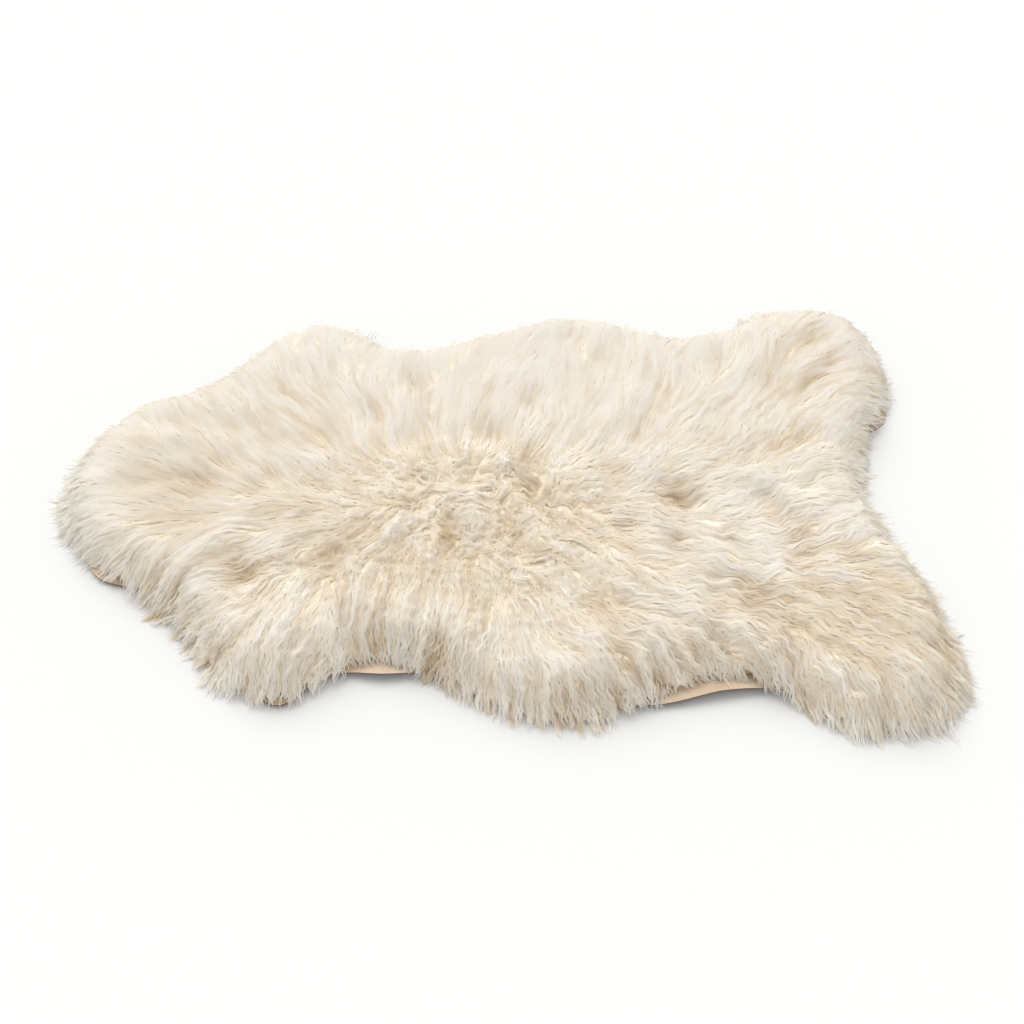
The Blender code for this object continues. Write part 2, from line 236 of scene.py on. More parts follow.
class Field:
    """The flat grid over the rug, and what can be done with a value at each of its points."""

    STEP = 1.5 * MM
    X = np.arange(-380, 381) * STEP
    Y = np.arange(-266, 267) * STEP

    @classmethod
    def mesh(cls) -> tuple[Array, Array]:
        """X and Y of every grid point."""
        return np.meshgrid(cls.X, cls.Y)

    @classmethod
    def sample(cls, values: Array, xy: Array) -> Array:
        """Read a grid between its points.

        Args:
            values: the grid, of numbers or of vectors.
            xy: places, in an array of any shape.

        Returns:
            The value at each place.
        """
        column = np.clip((xy[..., 0] - cls.X[0]) / cls.STEP, 0.0, len(cls.X) - 1.001)
        row = np.clip((xy[..., 1] - cls.Y[0]) / cls.STEP, 0.0, len(cls.Y) - 1.001)
        c, r = column.astype(int), row.astype(int)
        fx, fy = column - c, row - r
        if values.ndim == 3:
            fx, fy = fx[..., None], fy[..., None]
        low = values[r, c] * (1.0 - fx) + values[r, c + 1] * fx
        high = values[r + 1, c] * (1.0 - fx) + values[r + 1, c + 1] * fx
        return low * (1.0 - fy) + high * fy

    @classmethod
    def blur(cls, values: Array, radius: float) -> Array:
        """Soften a grid with a bell.

        Args:
            values: the grid.
            radius: the bell's radius in metres.

        Returns:
            The softened grid.
        """
        fy = np.fft.fftfreq(values.shape[0], cls.STEP)[:, None]
        fx = np.fft.rfftfreq(values.shape[1], cls.STEP)[None, :]
        bell = np.exp(-2.0 * (math.pi * radius) ** 2 * (fx * fx + fy * fy))
        return np.fft.irfft2(np.fft.rfft2(values) * bell, s=values.shape)

    @classmethod
    def slope(cls, values: Array) -> Array:
        """Rise along X and along Y."""
        down, across = np.gradient(values, cls.STEP)
        return np.dstack([across, down])

    @classmethod
    def fill_between(cls, values: Array) -> Array:
        """Fill every second row and column of a grid from their neighbours, in place.

        Args:
            values: the grid.

        Returns:
            The same grid.
        """
        values[:, 1:-1:2] = (values[:, 0:-2:2] + values[:, 2::2]) / 2.0
        values[1:-1:2, :] = (values[0:-2:2, :] + values[2::2, :]) / 2.0
        return values

    @classmethod
    def potential(cls, flow: Array) -> Array:
        """Find the grid whose slope fits some directions best, so its levels lie across them.

        Args:
            flow: the directions over the grid.

        Returns:
            The grid: in effect the distance along the directions.
        """
        fy = 2.0 * math.pi * np.fft.fftfreq(flow.shape[0], cls.STEP)[:, None]
        fx = 2.0 * math.pi * np.fft.rfftfreq(flow.shape[1], cls.STEP)[None, :]
        size = fx * fx + fy * fy
        size[0, 0] = 1.0
        wave = (fx * np.fft.rfft2(flow[..., 0]) + fy * np.fft.rfft2(flow[..., 1])) / (1j * size)
        return np.fft.irfft2(wave, s=flow.shape[:2])


def share(values: Array) -> Array:
    """Values kept from 0 to 1."""
    return np.clip(values, 0.0, 1.0)


def unit(vectors: Array) -> Array:
    """Vectors made one unit long."""
    return vectors / np.maximum(np.linalg.norm(vectors, axis=-1, keepdims=True), 1e-12)


def turned(flow: Array, angle: Array) -> Array:
    """Directions, each turned to the left by its own angle in radians."""
    cos, sin, x, y = np.cos(angle), np.sin(angle), flow[..., 0], flow[..., 1]
    return np.dstack([x * cos - y * sin, x * sin + y * cos])


def comb_out(values: Array, flow: Array, reach: float) -> Array:
    """Smear a grid along the lie of the wool, so that its spots become locks.

    Args:
        values: the grid.
        flow: unit directions over the grid.
        reach: how far each way it is smeared, in metres.

    Returns:
        The smeared grid, with a mean of 0 and a spread of 1.
    """
    start = np.dstack(Field.mesh())
    total = values.copy()
    for sign in (-1.0, 1.0):
        at = start.copy()
        for _ in range(int(reach / Field.STEP)):
            at = at + sign * Field.STEP * Field.sample(flow, at)
            total += Field.sample(values, at)
    total -= total.mean()
    return total / total.std()


@dataclass(frozen=True)
class Noise:
    """Even, repeatable unevenness."""

    size: float  # how far apart its ups and downs are
    strength: float  # how far it goes up and down
    seed: int

    def at(self, x: Array, y: Array) -> Array:
        """Read it.

        Args:
            x: X of each place.
            y: Y of each place.

        Returns:
            Its value at each place.
        """
        period = 97
        table = np.random.default_rng(self.seed).uniform(-1.0, 1.0, (period, period))
        x, y = x / self.size, y / self.size
        column, row = np.floor(x).astype(int), np.floor(y).astype(int)
        fx, fy = x - column, y - row
        fx, fy = fx * fx * (3.0 - 2.0 * fx), fy * fy * (3.0 - 2.0 * fy)
        c0, c1, r0, r1 = column % period, (column + 1) % period, row % period, (row + 1) % period
        low = table[r0, c0] * (1.0 - fx) + table[r0, c1] * fx
        high = table[r1, c0] * (1.0 - fx) + table[r1, c1] * fx
        return self.strength * (low * (1.0 - fy) + high * fy)

    def over_rug(self) -> Array:
        """Its value over the grid."""
        return self.at(*Field.mesh())


@dataclass(frozen=True)
class Patch:
    """A soft round place on the rug, in millimetres, with how strong it is there."""

    x: float
    y: float
    radius_x: float
    radius_y: float
    strength: float = 1.0

    def over_rug(self) -> Array:
        """Work out its strength over the grid.

        Returns:
            The strength at each place.
        """
        x, y = Field.mesh()
        dx, dy = (x / MM - self.x) / self.radius_x, (y / MM - self.y) / self.radius_y
        return self.strength * np.exp(-(dx * dx + dy * dy))


def patches_over(rows: tuple[tuple[float, ...], ...]) -> Array:
    """The patches of a table added up over the grid."""
    return sum(Patch(*row).over_rug() for row in rows)


# -------- what is known of the wool


# The way the wool lies, in rows along +X: X and Y of the first place in millimetres, then the
# direction there and at each step after it, in degrees from +X.
LIE = (
    (-280, 240, 108, 98), (-120, 230, 95), (-40, 240, 90, 80, 70, 72, 52), (360, 250, 68),
    (440, 240, 45), (-400, 150, 138), (-320, 160, 112, 122, 105, 84, 84, 86, 80, 64, 68, 48),
    (460, 160, 32), (-440, 80, 152, 108, 110, 120, 94, 88, 78, 68, 68, 50, 45, 30),
    (-480, 0, 172, 155, 158, 148, 150), (-80, 10, 112, 84, 62, 34, 30), (320, 0, 26, 12),
    (-480, -60, 180, 186, 196, 182), (-160, -55, 190), (-80, -60, 250), (0, -50, 270),
    (75, -60, 285), (140, -40, -4), (220, -60, -12, 2), (380, -70, 28), (440, -60, 5),
    (-450, -120, 206), (-400, -120, 220, 236, 222, 256), (-80, -130, 262, 270, 292),
    (150, -130, -42), (220, -130, -14, -10, 18), (450, -130, -4), (-360, -180, 238),
    (-280, -190, 212), (-200, -200, 244, 258, 270, 276), (100, -200, -44, -12), (260, -190, -2),
    (340, -200, -6, 0), (470, -200, -10), (-300, -250, 222), (-240, -260, 230), (-180, -260, 262),
    (-120, -250, 266), (-40, -270, 268, 278), (100, -270, -58), (160, -260, -42),
    (220, -260, -62), (280, -260, -60), (340, -260, -58), (400, -270, -42), (450, -270, -36),
    (-220, -300, 242), (100, -310, -70), (320, -310, -84), (370, -310, -66), (430, -310, -50),
)
LIE_STEP = 80

# Soft round places: X, Y and two radii in millimetres, and a strength where it isn't 1.
# The curly wool of the back, and the wavy wool towards the tail and along the near side.
CURLY = (
    (0, -70, 130, 80), (-40, -15, 150, 45, 0.8), (-190, -140, 90, 50, 0.7),
    (60, -150, 90, 60, 0.6),
)
WAVY = (
    (280, -60, 190, 130), (-20, -250, 260, 100), (300, -240, 190, 100, 0.9),
    (-250, -180, 140, 90, 0.7),
)

# Where the wool stops short of the hide's edge: the two near bays and four corners.
BARE = (
    (-106, -246, 62, 26), (232, -270, 78, 30), (-422, -125, 22, 18, 0.8),
    (-230, -284, 26, 16, 0.8), (490, 148, 26, 30, 0.8), (475, -295, 16, 14, 0.7),
)

# Where the loose wool stands out past the solid's rim, in millimetres.
FULLER = (
    (480, 200, 60, 90, 16), (-240, 270, 90, 60, 13), (-290, -270, 60, 50, 10),
    (500, -270, 50, 60, 13), (100, 300, 260, 60, 8), (-500, 60, 50, 120, 4),
    (20, -330, 110, 50, -4), (395, 325, 80, 40, 14),
)

# The rim of the neck, where the wool is finest and hardly gathers into locks.
SOFT = ((-490, -30, 110, 130),)

# Creases where locks part, and how deep they are; the same strength also paints shade into them.
CREASES = (
    (130, 17, 12, 14, 0.5), (221, -23, 8, 15), (284, -17, 15, 7, 0.7), (203, -16, 10, 8, 0.5),
    (135, -60, 16, 18, 0.5), (148, -86, 7, 14, 0.8), (168, -74, 14, 9, 0.7), (208, -97, 11, 7),
    (91, -122, 7, 12, 0.6), (157, -121, 8, 14, 0.5), (250, -153, 22, 10, 0.5),
    (-91, 156, 7, 16, 0.8), (5, 70, 6, 17), (-74, 33, 7, 15, 0.6), (-92, 55, 18, 14, 0.4),
    (-35, 109, 8, 16, 0.4), (55, 202, 22, 14, 0.3), (-28, 23, 12, 9, 0.5), (-353, -3, 26, 7, 0.7),
    (-200, -69, 15, 8, 0.7), (-273, -134, 13, 8), (-254, -148, 10, 14, 0.8),
    (-298, -116, 16, 16, 0.4), (-168, -115, 8, 9, 0.6), (-200, -136, 9, 7, 0.5),
    (-278, 43, 7, 9, 0.5), (-173, 6, 16, 16, 0.4), (344, -91, 14, 10, 0.8),
    (352, -121, 9, 12, 0.6), (279, -180, 10, 18, 0.8),
)

# Where the wool is paler than the rest, or deeper in colour.
PALE = (
    (-20, 230, 400, 150, 0.42), (0, -90, 170, 110, -0.22), (-370, -20, 120, 110, -0.1),
    (330, -60, 200, 90, 0.3), (-490, -20, 50, 140, 0.45), (400, 190, 120, 110, -0.12),
    (420, -210, 110, 100, -0.44), (-290, -240, 80, 60, 0.2),
)


@dataclass
class Form:
    """What the solids say: the wool's height everywhere, its outline and the hide's height.

    Its reach is the distance inside the loose wool's outline, below 0 outside it.
    """

    fleece: Object
    hide: Object
    outline_blur: float = 5.0 * MM  # evens out the outline's steps
    rim: float = 15.0 * MM  # how far in the solid's own locks reach
    rim_blur: float = 8.0 * MM  # spreads the height behind them over the rim

    def __post_init__(self) -> None:
        """Read both solids."""
        top, self.hide_top = self.heights(self.fleece), self.heights(self.hide)
        inside = (top > 0.0).astype(float)
        self.reach = self.distance_inside(Field.blur(inside, self.outline_blur) - 0.5)
        deep = share(self.reach / self.rim)
        spread = Field.blur(top * deep, self.rim_blur)
        spread = spread / np.maximum(Field.blur(deep, self.rim_blur), 0.02)
        self.top = top * deep + spread * (1.0 - deep)
        self.reach += MM * patches_over(FULLER)

    @staticmethod
    def heights(thing: Object) -> Array:
        """Find the height of a solid's upper face.

        Args:
            thing: the solid.

        Returns:
            The height over the grid, 0 outside the solid.
        """
        mesh = thing.data
        tree = BVHTree.FromPolygons([v.co for v in mesh.vertices],
                                    [p.vertices[:] for p in mesh.polygons])
        down, above = Vector((0.0, 0.0, -1.0)), 0.3
        found = np.zeros((len(Field.Y), len(Field.X)))
        for j in range(0, len(Field.Y), 2):
            for i in range(0, len(Field.X), 2):
                hit = tree.ray_cast(Vector((Field.X[i], Field.Y[j], above)), down)[0]
                if hit is not None:
                    found[j, i] = hit.z
        return Field.fill_between(found)

    @staticmethod
    def distance_inside(level: Array) -> Array:
        """Find the distance from the line where a grid is 0.

        Args:
            level: the grid.

        Returns:
            The distance over the grid, above 0 where the grid is.
        """
        inside = level > 0.0
        edge = inside[1:-1, 1:-1] & ~(inside[:-2, 1:-1] & inside[2:, 1:-1]
                                      & inside[1:-1, :-2] & inside[1:-1, 2:])
        rows, columns = np.nonzero(edge)
        tree = KDTree(len(rows))
        for index, (row, column) in enumerate(zip(rows, columns)):
            tree.insert((Field.X[column + 1], Field.Y[row + 1], 0.0), index)
        tree.balance()
        found = np.zeros(level.shape)
        for j in range(0, len(Field.Y), 2):
            for i in range(0, len(Field.X), 2):
                away = tree.find((Field.X[i], Field.Y[j], 0.0))[2]
                found[j, i] = away if inside[j, i] else -away
        return Field.fill_between(found)


@dataclass
class Zones:
    """Where each kind of wool grows, as shares over the grid.

    The curly, wavy and silky wool add up to 1. The front is the near side's rim, and paleness
    says how much paler than the rest the wool is.
    """

    reach: Array
    edge_width: float = 45.0 * MM
    front_width: float = 70.0 * MM
    pale_width: float = 25.0 * MM
    near_side: float = 150.0 * MM  # from the middle line to where a side is full
    far_side: float = 200.0 * MM

    def __post_init__(self) -> None:
        """Work out every zone from its patches and from the outline."""
        y = Field.mesh()[1]
        self.curly = share(patches_over(CURLY))
        self.wavy = share(patches_over(WAVY)) * (1.0 - 0.8 * self.curly)
        self.silky = 1.0 - share(self.curly + self.wavy)
        self.soft = patches_over(SOFT)
        self.bare = share(patches_over(BARE))
        self.crease = share(patches_over(CREASES))
        self.edge = share(1.0 - self.reach / self.edge_width)
        self.near, self.far = share(-y / self.near_side), share(y / self.far_side)
        self.front = self.near * share(1.0 - self.reach / self.front_width)
        self.paleness = patches_over(PALE) + 0.3 * share(1.0 - self.reach / self.pale_width)


@dataclass(frozen=True)
class Combing:
    """The lie of the wool: the directions of the table above, and how far it strays from them."""

    spread: float = 42.0 * MM  # how far each direction of the table reaches
    outline_blur: float = 8.0 * MM
    rim_width: float = 22.0 * MM  # how far in the rim turns the wool outwards
    rim_pull: float = 0.55
    broad: Noise = Noise(60.0 * MM, 0.3, 1)  # turns in radians of broad parts
    fine: Noise = Noise(26.0 * MM, 0.3, 2)  # of locks
    curl: Noise = Noise(24.0 * MM, 0.8, 3)  # of the curly wool

    def flow(self, reach: Array, curly: Array) -> Array:
        """Comb the wool.

        Args:
            reach: distance inside the wool's outline.
            curly: where the wool is curly.

        Returns:
            Unit direction of the wool over the grid.
        """
        x, y = Field.mesh()
        flow = np.zeros((*x.shape, 2))
        for first, at_y, *directions in LIE:
            for step, way in enumerate(np.radians(directions)):
                at_x = first + step * LIE_STEP
                away = (x - at_x * MM) ** 2 + (y - at_y * MM) ** 2
                near = np.exp(-away / (2.0 * self.spread ** 2))
                flow += near[..., None] * (math.cos(way), math.sin(way))
        outward = -Field.slope(Field.blur(reach, self.outline_blur))
        pull = self.rim_pull * np.clip(1.0 - reach / self.rim_width, 0.0, 1.5)
        turn = self.broad.over_rug() + self.fine.over_rug() + curly * self.curl.over_rug()
        return turned(unit(unit(flow) + outward * pull[..., None]), turn)


@dataclass
class Surface:
    """The wool's outer face: its lie with waves and curls, and its height with its locks.

    Its relief is the locks' height as a number, mostly from -3 to 3, and fine is the part of it
    that the finest locks have; the relief that is kept is used only for colour, with extra on the
    near rim, to paint light and shade on the locks. The partings field is painted shade in the
    gaps between the near rim's locks, and the hollows field says how far a place lies below the
    wool round it, to paint shade there. A wave and a curl are measured along the wool.
    """

    form: Form
    zones: Zones
    combing: Combing
    round_width: float = 36.0 * MM
    round_blur: float = 3.0 * MM
    calm_blur: float = 12.0 * MM  # softens the solid's lumps under calm wool
    wave: float = 19.0 * MM
    wave_turn: float = 0.5  # in radians to each side
    wave_noise: Noise = Noise(30.0 * MM, 2.2, 31)
    curl: float = 12.5 * MM
    curl_turn: float = 0.95
    curl_noise: Noise = Noise(20.0 * MM, 2.5, 32)
    broad_spot: float = 4.5 * MM  # spots that are combed out to locks
    fine_spot: float = 1.6 * MM
    broad_reach: float = 26.0 * MM  # half the locks' length
    fine_reach: float = 24.0 * MM
    tuft: float = 40.0 * MM  # from step to step where a layer of wool ends
    tuft_noise: Noise = Noise(22.0 * MM, 0.9, 51)
    tuft_blur: float = 2.2 * MM
    lock_height: float = 1.5 * MM
    front_height: float = 4.0 * MM  # what the near rim's locks have besides
    crease_depth: float = 4.5 * MM
    smooth_rim: float = 10.0 * MM  # where locks and hollows start inside the outline
    normal_blur: float = 1.3 * MM
    hollow_blur: float = 6.0 * MM
    hollow_width: float = 30.0 * MM
    hollow_depth: float = 8.0 * MM
    seed: int = 7

    def __post_init__(self) -> None:
        """Comb the wool, raise its locks, and find its slopes and hollows."""
        rounded = self.rounded_top()
        self.raise_locks(rounded, *self.sway(rounded))
        self.slope = Field.slope(self.height)
        soft_slope = Field.slope(Field.blur(self.height, self.normal_blur))
        self.up = unit(np.dstack([-soft_slope, np.ones(self.height.shape)]))
        top, reach = self.form.top, self.form.reach
        # How far a place lies below the wool round it, used only to paint shade into hollows
        drop = Field.blur(top, self.hollow_width) - Field.blur(top, self.hollow_blur)
        self.hollow_shade = np.clip(drop / self.hollow_depth, -1.0, 1.0)
        self.hollow_shade *= share((reach - self.smooth_rim) / self.hollow_width)

    def rounded_top(self) -> Array:
        """Round the solid's top down at its rim, and soften its lumps where the wool is calm.

        Returns:
            The height over the grid.
        """
        zones = self.zones
        width = self.round_width * (1.0 + 0.6 * zones.near + 0.5 * zones.bare - 0.6 * zones.far)
        outward = 1.0 - share(self.form.reach / width)
        rounded = Field.blur(self.form.top * np.sqrt(1.0 - outward ** 2), self.round_blur)
        calm = 0.6 * zones.silky + 0.42 * zones.wavy + 0.3 * zones.far * zones.silky
        calm = calm * (1.0 - zones.edge ** 2)
        return rounded * (1.0 - calm) + Field.blur(rounded, self.calm_blur) * calm

    def sway(self, rounded: Array) -> tuple[Array, Array, Array]:
        """Comb the wool, then give its lie waves and curls that keep their length on slopes.

        Args:
            rounded: the height without locks.

        Returns:
            Over the grid, the distance along the wool, and the phases of waves and of curls.
        """
        zones = self.zones
        flow = self.combing.flow(self.form.reach, zones.curly)
        fall = np.clip((Field.slope(rounded) * flow).sum(axis=2), -2.0, 2.0)
        stretch = np.sqrt(1.0 + fall ** 2)
        combed = Field.potential(flow * stretch[..., None])
        wave = 2.0 * math.pi * combed / self.wave + self.wave_noise.over_rug()
        curl = 2.0 * math.pi * combed / self.curl + self.curl_noise.over_rug()
        swing = self.wave_turn * (zones.wavy + 0.35 * zones.silky) * np.cos(wave)
        swing = swing + self.curl_turn * zones.curly * np.cos(curl)
        self.flow = turned(flow, np.arctan(np.tan(swing) * stretch))
        return combed, wave, curl

    def raise_locks(self, rounded: Array, combed: Array, wave: Array, curl: Array) -> None:
        """Raise locks and tufts on the rounded top, and press creases in.

        Args:
            rounded: the height without locks.
            combed: distance along the wool.
            wave: phase of the waves.
            curl: phase of the curls.
        """
        zones, rng = self.zones, np.random.default_rng(self.seed)
        broad = Field.blur(rng.standard_normal(rounded.shape), self.broad_spot)
        fine = Field.blur(rng.standard_normal(rounded.shape), self.fine_spot)
        broad = comb_out(broad, self.flow, self.broad_reach)
        fine = comb_out(fine, self.flow, self.fine_reach)
        tuft = combed / self.tuft + self.tuft_noise.over_rug()
        tuft = Field.blur((tuft % 1.0) ** 1.3 - 0.43, self.tuft_blur)
        self.fine = 0.17 + 0.25 * zones.curly + (0.2 + 0.25 * zones.front) * zones.wavy
        self.fine += 0.14 * zones.far * zones.silky
        self.fine *= fine * (1.0 - 0.5 * zones.soft)
        relief = 0.5 * broad + self.fine + (2.0 - zones.wavy) * tuft
        relief += 0.6 * zones.curly * np.sin(curl) + 0.2 * zones.wavy * np.sin(wave)
        relief *= 1.0 - (0.6 + 0.25 * zones.far) * zones.silky
        raised = self.lock_height * relief + self.front_height * zones.front * broad
        shown = share(self.form.reach / self.smooth_rim)
        self.height = rounded + (raised - self.crease_depth * zones.crease) * shown
        # The relief kept for colour has extra on the near rim: painted light and shade on its
        # locks
        self.relief = relief + 3.0 * zones.front * broad
        # Painted shade in the gaps between the near rim's locks, used only for colour
        self.parting_shade = zones.front * np.clip(-0.2 - broad, 0.0, 1.3)


# -------- the wool


@dataclass(frozen=True)
class Growth:
    """Sizes of one kind of wool ribbon, and how it gathers into wisps and locks."""

    seed: int
    spacing: float  # between roots
    length: tuple[float, float]  # shortest and longest
    segments: int
    width: float
    tip_width: float
    rise: float  # of its tip above the wool's face
    lock_pitch: float
    wisp_pitch: float
    gather: float  # how far a lock closes up by its tip, from 0 to 1
    bend: float  # sideways swing of a whole lock
    loose: float  # random height of single ribbons
    turn: float  # how far a lock strays from the lie of the wool by its tip, in radians
    past_rim: float  # how far a lock may pass the wool's outline
    droop: float  # steepest fall past the rim
    lowest: float  # share of the wool's height that the lowest ribbons start from


class Coat(enum.Enum):
    """Kinds of wool by where they grow."""

    CURL = Growth(21, 3.3 * MM, (27.0 * MM, 36.0 * MM), 14, 1.6 * MM, 0.4 * MM, 0.6 * MM,
                  11.0 * MM, 5.0 * MM, 0.35, 0.5 * MM, 0.25 * MM, 0.14, 6.0 * MM, 1.0, 1.0)
    PILE = Growth(22, 4.1 * MM, (38.0 * MM, 54.0 * MM), 13, 2.1 * MM, 0.4 * MM, 0.6 * MM,
                  15.0 * MM, 6.0 * MM, 0.2, 0.6 * MM, 0.25 * MM, 0.08, 17.0 * MM, 0.9, 1.0)
    SILK = Growth(25, 4.3 * MM, (42.0 * MM, 60.0 * MM), 8, 2.5 * MM, 0.4 * MM, 0.3 * MM,
                  16.0 * MM, 6.0 * MM, 0.15, 0.8 * MM, 0.2 * MM, 0.08, 20.0 * MM, 0.9, 1.0)
    RIM = Growth(23, 3.2 * MM, (30.0 * MM, 52.0 * MM), 11, 1.9 * MM, 0.25 * MM, 0.8 * MM,
                 16.0 * MM, 5.0 * MM, 0.6, 1.2 * MM, 0.3 * MM, 0.11, 20.0 * MM, 1.1, 0.12)
    STRAND = Growth(24, 6.6 * MM, (26.0 * MM, 44.0 * MM), 7, 0.6 * MM, 0.2 * MM, 1.2 * MM,
                    12.0 * MM, 6.0 * MM, 0.3, 1.0 * MM, 0.3 * MM, 0.15, 20.0 * MM, 0.9, 0.7)
    FUZZ = Growth(26, 3.5 * MM, (14.0 * MM, 30.0 * MM), 5, 0.32 * MM, 0.12 * MM, 3.5 * MM,
                  8.0 * MM, 8.0 * MM, 0.1, 3.0 * MM, 1.2 * MM, 0.4, 20.0 * MM, 0.4, 0.15)


SECTIONS = ("neck", "shoulder", "back", "loin", "rump")
JITTER = 0.45  # share of a lattice's pitch that a place is shifted each way


@dataclass
class Ribbons:
    """Wool ribbons as arrays, with one entry for each row of a ribbon's corners."""

    points: Array  # the middle line
    sides: Array  # from it half a width to the left
    normals: Array
    tone: Array  # how pale, from 0 to 1
    # brightness: painted light and shade, the roots' tan and each lock's own brightness
    shade_and_tan: Array
    lean: float = 0.08  # of the edges' normals, so that a flat ribbon is lit as a round one
    uv_width: float = 0.02

    def chosen(self, which: Array) -> "Ribbons":
        """Only some of the ribbons."""
        parts = (self.points, self.sides, self.normals, self.tone, self.shade_and_tan)
        return Ribbons(*(part[which] for part in parts))

    def faces(self) -> Array:
        """Number the corners of every face, so that its front looks out of the wool.

        Returns:
            Four corners a face.
        """
        count, rows = self.points.shape[:2]
        first = (np.arange(count) * rows * 2)[:, None] + np.arange(rows - 1) * 2
        return np.stack([first, first + 2, first + 3, first + 1], axis=2).reshape(-1, 4)

    def corners(self) -> Array:
        """Corner places, two to a row."""
        rows = [self.points - self.sides, self.points + self.sides]
        return np.stack(rows, axis=2).reshape(-1, 3)

    def corner_normals(self) -> Array:
        """Corner normals, two to a row."""
        out = self.lean * unit(self.sides)
        return unit(np.stack([self.normals - out, self.normals + out], axis=2).reshape(-1, 3))

    def corner_uvs(self) -> Array:
        """Lay the ribbons out by tone and brightness.

        Returns:
            Two places a row, a little apart, so that no face is flat in the map.
        """
        half = self.uv_width / 2.0
        tone, shade_and_tan = np.clip(self.tone, 0.02, 0.98), np.clip(self.shade_and_tan, 0.01, 0.99)
        u = np.stack([tone - half, tone + half], axis=2).reshape(-1)
        return np.column_stack([u, np.repeat(shade_and_tan.reshape(-1), 2)])


def ribbon_mesh(name: str, parts: list[Ribbons]) -> Mesh:
    """Join ribbons into one mesh, with their tone and brightness as its UV map.

    Args:
        name: the mesh's name.
        parts: the ribbons.

    Returns:
        The mesh.
    """
    corners = [part.corners() for part in parts]
    starts = np.cumsum([0] + [len(part_corners) for part_corners in corners])
    faces = np.vstack([part.faces() + start for part, start in zip(parts, starts)])
    corners = np.vstack(corners)
    uvs = np.vstack([part.corner_uvs() for part in parts])
    normals = np.vstack([part.corner_normals() for part in parts])
    mesh = bpy.data.meshes.new(name)
    mesh.vertices.add(len(corners))
    mesh.vertices.foreach_set("co", corners.ravel())
    mesh.loops.add(faces.size)
    mesh.loops.foreach_set("vertex_index", faces.ravel())
    mesh.polygons.add(len(faces))
    mesh.polygons.foreach_set("loop_start", np.arange(0, faces.size, 4))
    mesh.update(calc_edges=True)
    mesh.shade_smooth()
    layer = mesh.uv_layers.new(name=BAKE_UV)
    layer.data.foreach_set("uv", uvs[faces.ravel()].ravel())
    mesh.normals_split_custom_set_from_vertices(normals)
    return mesh


def add_piece(mesh: Mesh, material: Material) -> Object:
    """Put a finished mesh in the scene.

    Args:
        mesh: the mesh, whose name the piece takes.
        material: its finish.

    Returns:
        The piece.
    """
    mesh.materials.append(material)
    piece = bpy.data.objects.new(mesh.name, mesh)
    bpy.context.scene.collection.objects.link(piece)
    return piece


@dataclass(frozen=True)
class Seeds:
    """Places on a jittered lattice where ribbons, wisps or locks begin."""

    pitch: float
    places: Array

    @staticmethod
    def scattered(pitch: float, rng: np.random.Generator) -> "Seeds":
        """Lay a lattice over the whole grid and shift each place at random.

        Args:
            pitch: distance between places.
            rng: the random numbers.

        Returns:
            The seeds.
        """
        xs = np.arange(Field.X[0], Field.X[-1] + pitch, pitch)
        ys = np.arange(Field.Y[0], Field.Y[-1] + pitch, pitch)
        places = np.dstack(np.meshgrid(xs, ys))
        return Seeds(pitch, places + rng.uniform(-JITTER, JITTER, places.shape) * pitch)

    def nearest(self, xy: Array) -> Array:
        """Find the seed nearest to each place.

        Args:
            xy: the places.

        Returns:
            The seeds' indexes in the flat list.
        """
        rows, columns = self.places.shape[:2]
        column = np.rint((xy[:, 0] - Field.X[0]) / self.pitch).astype(int)
        row = np.rint((xy[:, 1] - Field.Y[0]) / self.pitch).astype(int)
        best, index = np.full(len(xy), np.inf), np.zeros(len(xy), int)
        for dr in (-1, 0, 1):
            for dc in (-1, 0, 1):
                r, c = np.clip(row + dr, 0, rows - 1), np.clip(column + dc, 0, columns - 1)
                away = np.linalg.norm(self.places[r, c] - xy, axis=1)
                closer = away < best
                best[closer], index[closer] = away[closer], (r * columns + c)[closer]
        return index

    def flat(self) -> Array:
        """All places as one list."""
        return self.places.reshape(-1, 2)


def shortened(lines: Array, kept: Array) -> Array:
    """Keep only the first part of each line, with as many points as before.

    Args:
        lines: the lines.
        kept: the share of each that is kept.

    Returns:
        The shorter lines.
    """
    rows = lines.shape[1]
    at = np.linspace(0.0, 1.0, rows)[None, :] * kept[:, None] * (rows - 1)
    low = np.minimum(at.astype(int), rows - 2)
    part = (at - low)[..., None]
    index = np.arange(len(lines))[:, None]
    return lines[index, low] * (1.0 - part) + lines[index, low + 1] * part


